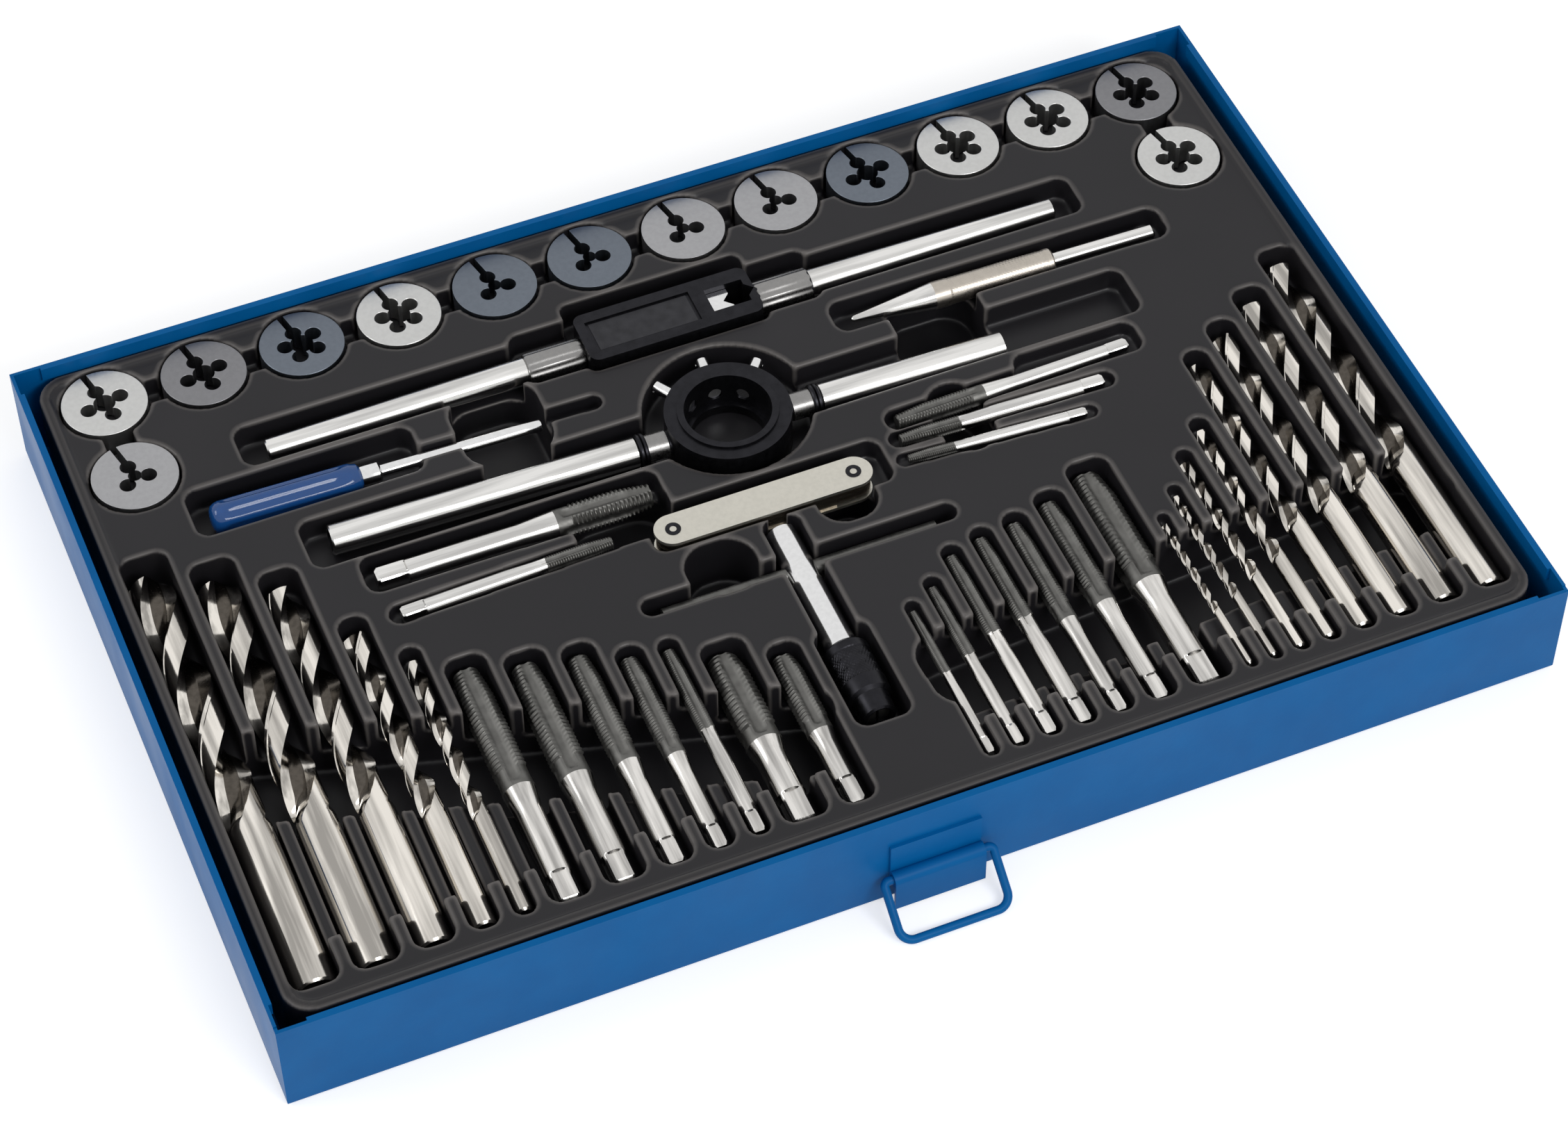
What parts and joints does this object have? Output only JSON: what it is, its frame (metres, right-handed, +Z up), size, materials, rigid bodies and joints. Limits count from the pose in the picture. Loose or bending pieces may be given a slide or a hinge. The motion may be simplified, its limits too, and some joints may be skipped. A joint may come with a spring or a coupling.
{
  "type": "tap and die storage drawer",
  "caption": "Shallow folded-metal drawer with a bail handle; a moulded insert holds twist drills, taps, round dies, wrenches, a die stock and small tools.",
  "frame": {"origin": "centre of the drawer's underside, on the plane it rests on", "axes": "+X to the right seen from the handle side, +Y from the handle front to the back, +Z up"},
  "size_m": [0.38, 0.2654, 0.035],
  "materials": {
    "blue_paint": "gloss",
    "black_sheet": "satin",
    "polished_steel": "polished",
    "black_oxide": "black oxide",
    "die_steel": "ground",
    "hard_steel": "ground",
    "chrome_steel": "plated",
    "blue_plastic": "gloss"
  },
  "bodies": {
    "drawer": {"drawer_tray": "blue_paint", "handle_bracket": "blue_paint"},
    "bail": {"bail_handle": "blue_paint"},
    "insert": {"tool_insert": "black_sheet"},
    "tap_wrench": {"tap_wrench_body": "chrome_steel", "tap_wrench_fixed_handle": "chrome_steel"},
    "wrench_screw": {"tap_wrench_screw_handle": "chrome_steel"},
    "wrench_jaw": {"tap_wrench_jaw": "hard_steel"},
    "die_stock": {"die_stock_ring": "chrome_steel", "die_stock_handle_left": "chrome_steel", "die_stock_handle_right": "chrome_steel"},
    "set_screw_1": {"set_screw_1": "black_oxide"},
    "set_screw_2": {"set_screw_2": "black_oxide"},
    "set_screw_3": {"set_screw_3": "black_oxide"},
    "t_wrench": {"t_wrench_spindle": "chrome_steel", "t_wrench_jaws": "black_oxide"},
    "t_bar": {"t_wrench_bar": "black_oxide"},
    "t_chuck": {"t_wrench_chuck": "black_oxide"},
    "pitch_gauge": {"pitch_gauge_case": "chrome_steel", "pitch_gauge_leaves": "hard_steel"},
    "screwdriver": {"screwdriver_handle": "blue_plastic", "screwdriver_blade": "chrome_steel"},
    "centre_punch": {"centre_punch": "chrome_steel"},
    "drill_1": {"drill_1": "polished_steel"},
    "drill_2": {"drill_2": "polished_steel"},
    "drill_3": {"drill_3": "polished_steel"},
    "drill_4": {"drill_4": "polished_steel"},
    "drill_5": {"drill_5": "polished_steel"},
    "drill_6": {"drill_6": "polished_steel"},
    "drill_7": {"drill_7": "polished_steel"},
    "drill_8": {"drill_8": "polished_steel"},
    "drill_9": {"drill_9": "polished_steel"},
    "drill_10": {"drill_10": "polished_steel"},
    "drill_11": {"drill_11": "polished_steel"},
    "drill_12": {"drill_12": "polished_steel"},
    "drill_13": {"drill_13": "polished_steel"},
    "tap_1": {"tap_1": "black_oxide"},
    "tap_2": {"tap_2": "black_oxide"},
    "tap_3": {"tap_3": "black_oxide"},
    "tap_4": {"tap_4": "black_oxide"},
    "tap_5": {"tap_5": "black_oxide"},
    "tap_6": {"tap_6": "black_oxide"},
    "tap_7": {"tap_7": "black_oxide"},
    "tap_8": {"tap_8": "black_oxide"},
    "tap_9": {"tap_9": "black_oxide"},
    "tap_10": {"tap_10": "black_oxide"},
    "tap_11": {"tap_11": "black_oxide"},
    "tap_12": {"tap_12": "black_oxide"},
    "tap_13": {"tap_13": "black_oxide"},
    "tap_14": {"tap_14": "black_oxide"},
    "tap_15": {"tap_15": "black_oxide"},
    "tap_16": {"tap_16": "black_oxide"},
    "tap_17": {"tap_17": "black_oxide"},
    "tap_18": {"tap_18": "black_oxide"},
    "tap_19": {"tap_19": "black_oxide"},
    "dies_three_hole": {"dies_three_hole": "die_steel"},
    "dies_four_hole": {"dies_four_hole": "die_steel"},
    "dies_five_hole": {"dies_five_hole": "die_steel"}
  },
  "joints": [
    {"name": "bail_hinge", "type": "hinge", "parent": "drawer", "child": "bail", "pos_m": [-0.0035, -0.1266, 0.012], "axis": [1, 0, 0], "range_deg": [-129, 51]},
    {"name": "insert_lift", "type": "slide", "parent": "drawer", "child": "insert", "axis": [0, 0, 1], "range_m": [0, 0.06]},
    {"name": "tap_wrench_lift", "type": "slide", "parent": "insert", "child": "tap_wrench", "axis": [0, 0, 1], "range_m": [0, 0.05]},
    {"name": "screw_handle_turn", "type": "hinge", "parent": "tap_wrench", "child": "wrench_screw", "pos_m": [-0.04, 0.07395, 0.0265], "axis": [1, 0, 0], "range_deg": [-1150, 1150]},
    {"name": "jaw_slide", "type": "slide", "parent": "tap_wrench", "child": "wrench_jaw", "axis": [1, 0, 0], "range_m": [-0.004, 0.004]},
    {"name": "die_stock_lift", "type": "slide", "parent": "insert", "child": "die_stock", "axis": [0, 0, 1], "range_m": [0, 0.05]},
    {"name": "set_screw_1_turn", "type": "hinge", "parent": "die_stock", "child": "set_screw_1", "pos_m": [0.00955, 0.04303, 0.0265], "axis": [0.6561, 0.7547, 0], "range_deg": [-180, 180]},
    {"name": "set_screw_2_turn", "type": "hinge", "parent": "die_stock", "child": "set_screw_2", "pos_m": [0.0003, 0.0469, 0.0265], "axis": [0.0785, 0.9969, 0], "range_deg": [-180, 180]},
    {"name": "set_screw_3_turn", "type": "hinge", "parent": "die_stock", "child": "set_screw_3", "pos_m": [-0.00943, 0.04452, 0.0265], "axis": [-0.5299, 0.848, 0], "range_deg": [-180, 180]},
    {"name": "t_wrench_lift", "type": "slide", "parent": "insert", "child": "t_wrench", "axis": [0, 0, 1], "range_m": [0, 0.05]},
    {"name": "t_bar_slide", "type": "slide", "parent": "t_wrench", "child": "t_bar", "axis": [1, 0, 0], "range_m": [-0.004, 0.004]},
    {"name": "chuck_turn", "type": "hinge", "parent": "t_wrench", "child": "t_chuck", "pos_m": [-0.002, -0.07, 0.0237], "axis": [0, 1, 0], "range_deg": [-360, 360]},
    {"name": "pitch_gauge_lift", "type": "slide", "parent": "insert", "child": "pitch_gauge", "axis": [0, 0, 1], "range_m": [0, 0.05]},
    {"name": "screwdriver_lift", "type": "slide", "parent": "insert", "child": "screwdriver", "axis": [0, 0, 1], "range_m": [0, 0.05]},
    {"name": "centre_punch_lift", "type": "slide", "parent": "insert", "child": "centre_punch", "axis": [0, 0, 1], "range_m": [0, 0.05]},
    {"name": "dies_three_hole_lift", "type": "slide", "parent": "insert", "child": "dies_three_hole", "axis": [0, 0, 1], "range_m": [0, 0.05]},
    {"name": "dies_four_hole_lift", "type": "slide", "parent": "insert", "child": "dies_four_hole", "axis": [0, 0, 1], "range_m": [0, 0.05]},
    {"name": "dies_five_hole_lift", "type": "slide", "parent": "insert", "child": "dies_five_hole", "axis": [0, 0, 1], "range_m": [0, 0.05]},
    {"name": "drill_1_lift", "type": "slide", "parent": "insert", "child": "drill_1", "axis": [0, 0, 1], "range_m": [0, 0.05]},
    {"name": "drill_2_lift", "type": "slide", "parent": "insert", "child": "drill_2", "axis": [0, 0, 1], "range_m": [0, 0.05]},
    {"name": "drill_3_lift", "type": "slide", "parent": "insert", "child": "drill_3", "axis": [0, 0, 1], "range_m": [0, 0.05]},
    {"name": "drill_4_lift", "type": "slide", "parent": "insert", "child": "drill_4", "axis": [0, 0, 1], "range_m": [0, 0.05]},
    {"name": "drill_5_lift", "type": "slide", "parent": "insert", "child": "drill_5", "axis": [0, 0, 1], "range_m": [0, 0.05]},
    {"name": "drill_6_lift", "type": "slide", "parent": "insert", "child": "drill_6", "axis": [0, 0, 1], "range_m": [0, 0.05]},
    {"name": "drill_7_lift", "type": "slide", "parent": "insert", "child": "drill_7", "axis": [0, 0, 1], "range_m": [0, 0.05]},
    {"name": "drill_8_lift", "type": "slide", "parent": "insert", "child": "drill_8", "axis": [0, 0, 1], "range_m": [0, 0.05]},
    {"name": "drill_9_lift", "type": "slide", "parent": "insert", "child": "drill_9", "axis": [0, 0, 1], "range_m": [0, 0.05]},
    {"name": "drill_10_lift", "type": "slide", "parent": "insert", "child": "drill_10", "axis": [0, 0, 1], "range_m": [0, 0.05]},
    {"name": "drill_11_lift", "type": "slide", "parent": "insert", "child": "drill_11", "axis": [0, 0, 1], "range_m": [0, 0.05]},
    {"name": "drill_12_lift", "type": "slide", "parent": "insert", "child": "drill_12", "axis": [0, 0, 1], "range_m": [0, 0.05]},
    {"name": "drill_13_lift", "type": "slide", "parent": "insert", "child": "drill_13", "axis": [0, 0, 1], "range_m": [0, 0.05]},
    {"name": "tap_1_lift", "type": "slide", "parent": "insert", "child": "tap_1", "axis": [0, 0, 1], "range_m": [0, 0.05]},
    {"name": "tap_2_lift", "type": "slide", "parent": "insert", "child": "tap_2", "axis": [0, 0, 1], "range_m": [0, 0.05]},
    {"name": "tap_3_lift", "type": "slide", "parent": "insert", "child": "tap_3", "axis": [0, 0, 1], "range_m": [0, 0.05]},
    {"name": "tap_4_lift", "type": "slide", "parent": "insert", "child": "tap_4", "axis": [0, 0, 1], "range_m": [0, 0.05]},
    {"name": "tap_5_lift", "type": "slide", "parent": "insert", "child": "tap_5", "axis": [0, 0, 1], "range_m": [0, 0.05]},
    {"name": "tap_6_lift", "type": "slide", "parent": "insert", "child": "tap_6", "axis": [0, 0, 1], "range_m": [0, 0.05]},
    {"name": "tap_7_lift", "type": "slide", "parent": "insert", "child": "tap_7", "axis": [0, 0, 1], "range_m": [0, 0.05]},
    {"name": "tap_8_lift", "type": "slide", "parent": "insert", "child": "tap_8", "axis": [0, 0, 1], "range_m": [0, 0.05]},
    {"name": "tap_9_lift", "type": "slide", "parent": "insert", "child": "tap_9", "axis": [0, 0, 1], "range_m": [0, 0.05]},
    {"name": "tap_10_lift", "type": "slide", "parent": "insert", "child": "tap_10", "axis": [0, 0, 1], "range_m": [0, 0.05]},
    {"name": "tap_11_lift", "type": "slide", "parent": "insert", "child": "tap_11", "axis": [0, 0, 1], "range_m": [0, 0.05]},
    {"name": "tap_12_lift", "type": "slide", "parent": "insert", "child": "tap_12", "axis": [0, 0, 1], "range_m": [0, 0.05]},
    {"name": "tap_13_lift", "type": "slide", "parent": "insert", "child": "tap_13", "axis": [0, 0, 1], "range_m": [0, 0.05]},
    {"name": "tap_14_lift", "type": "slide", "parent": "insert", "child": "tap_14", "axis": [0, 0, 1], "range_m": [0, 0.05]},
    {"name": "tap_15_lift", "type": "slide", "parent": "insert", "child": "tap_15", "axis": [0, 0, 1], "range_m": [0, 0.05]},
    {"name": "tap_16_lift", "type": "slide", "parent": "insert", "child": "tap_16", "axis": [0, 0, 1], "range_m": [0, 0.05]},
    {"name": "tap_17_lift", "type": "slide", "parent": "insert", "child": "tap_17", "axis": [0, 0, 1], "range_m": [0, 0.05]},
    {"name": "tap_18_lift", "type": "slide", "parent": "insert", "child": "tap_18", "axis": [0, 0, 1], "range_m": [0, 0.05]},
    {"name": "tap_19_lift", "type": "slide", "parent": "insert", "child": "tap_19", "axis": [0, 0, 1], "range_m": [0, 0.05]}
  ],
  "couplings": [
    {"joint": "jaw_slide", "follows": "screw_handle_turn", "m_per_rad": 0.00019894}
  ]
}
